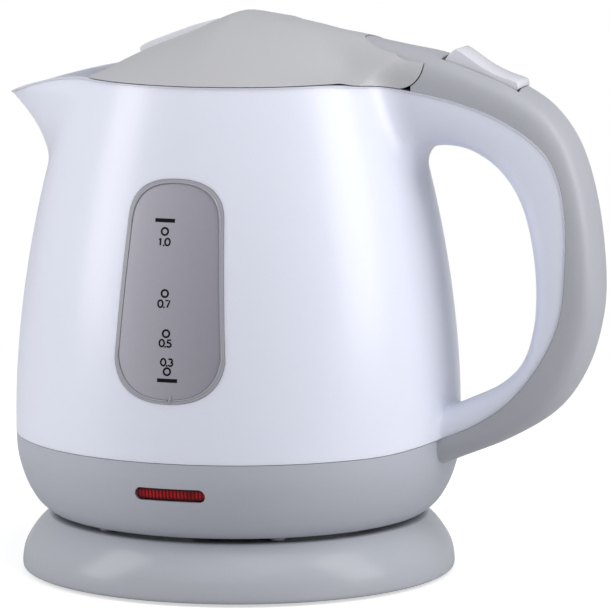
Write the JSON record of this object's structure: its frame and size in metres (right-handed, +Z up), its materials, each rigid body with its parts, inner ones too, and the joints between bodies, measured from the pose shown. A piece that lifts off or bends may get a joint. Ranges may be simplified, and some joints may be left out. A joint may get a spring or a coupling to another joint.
{
  "type": "electric kettle",
  "caption": "Small cordless electric kettle: a plastic jug with a spout, water gauge, hinged lid and loop handle, on a round power stand.",
  "frame": {"origin": "on the table, under the middle of the object's bounding box", "axes": "+X towards the handle, -X towards the spout, -Y towards the water gauge, +Z up"},
  "size_m": [0.2075, 0.1494, 0.188],
  "materials": {
    "white_plastic": "smooth glossy moulding",
    "handle_white": "smooth satin moulding",
    "grey_plastic": "fine satin moulding",
    "stand_plastic": "smooth glossy moulding",
    "smoked_window": "clear smoked moulding over the water",
    "red_lens": "dark red clear moulding",
    "black_plastic": "heat-resisting moulding",
    "amber_plastic": "plain moulding",
    "red_sleeve": "wire insulation",
    "grey_rubber": "dull rubber",
    "lamp_glass": "clear lamp glass",
    "steel": "bright stainless steel",
    "spreader_aluminium": "rolled sheet",
    "contact_brass": "polished contact"
  },
  "bodies": {
    "stand": {"stand_shell": "stand_plastic", "stand_bottom_plate": "grey_plastic", "stand_connector": "black_plastic", "stand_contact_pin": "contact_brass", "stand_contact_ring": "contact_brass", "cord_gland": "grey_rubber", "stand_foot_1": "grey_rubber", "stand_foot_2": "grey_rubber", "stand_foot_3": "grey_rubber", "stand_foot_4": "grey_rubber", "stand_screw_1": "steel", "stand_screw_2": "steel", "stand_screw_3": "steel"},
    "connector_socket": {"connector_socket": "black_plastic"},
    "jug": {"jug_body": "white_plastic", "lower_casing": "grey_plastic", "jug_bottom_plate": "grey_plastic", "clamp_ring": "black_plastic", "element_plate": "steel", "plate_seal": "grey_rubber", "heat_spreader": "spreader_aluminium", "heating_element": "steel", "control_housing": "black_plastic", "boil_dry_disc": "steel", "lamp_holder": "black_plastic", "neon_lamp": "lamp_glass", "indicator_lens": "red_lens", "gauge_bezel": "grey_plastic", "gauge_window": "smoked_window", "filter_frame": "grey_plastic", "filter_net": "steel", "handle_cover": "grey_plastic", "switch_housing": "black_plastic", "steam_disc": "steel", "lid_hinge_pin": "steel", "rocker_pin": "steel", "casing_screw_1": "steel", "casing_screw_2": "steel", "casing_screw_3": "steel", "switch_lead_1": "black_plastic", "switch_lead_2": "red_sleeve"},
    "lid": {"lid_shell": "grey_plastic", "lid_liner": "grey_plastic", "lid_tab": "handle_white", "lid_screw_1": "steel", "lid_screw_2": "steel"},
    "rocker": {"rocker_button": "handle_white"},
    "trip_lever": {"trip_lever": "amber_plastic"}
  },
  "joints": [
    {"name": "jug_lift", "type": "slide", "parent": "stand", "child": "connector_socket", "axis": [0, 0, 1], "range_m": [0, 0.06]},
    {"name": "jug_swivel", "type": "hinge", "parent": "connector_socket", "child": "jug", "pos_m": [-0.0228, 0, 0], "axis": [0, 0, 1], "continuous": true},
    {"name": "lid_hinge", "type": "hinge", "parent": "jug", "child": "lid", "pos_m": [0.0367, 0, 0.1728], "axis": [0, 1, 0], "range_deg": [0, 75]},
    {"name": "rocker_tilt", "type": "hinge", "parent": "jug", "child": "rocker", "pos_m": [0.0642, 0, 0.1646], "axis": [0, -1, 0], "range_deg": [0, 8]},
    {"name": "trip_lever_tilt", "type": "hinge", "parent": "jug", "child": "trip_lever", "pos_m": [0.0692, 0, 0.1565], "axis": [0, -1, 0], "range_deg": [0, 4.2]}
  ],
  "couplings": [
    {"joint": "trip_lever_tilt", "follows": "rocker_tilt", "ratio": 0.5}
  ]
}
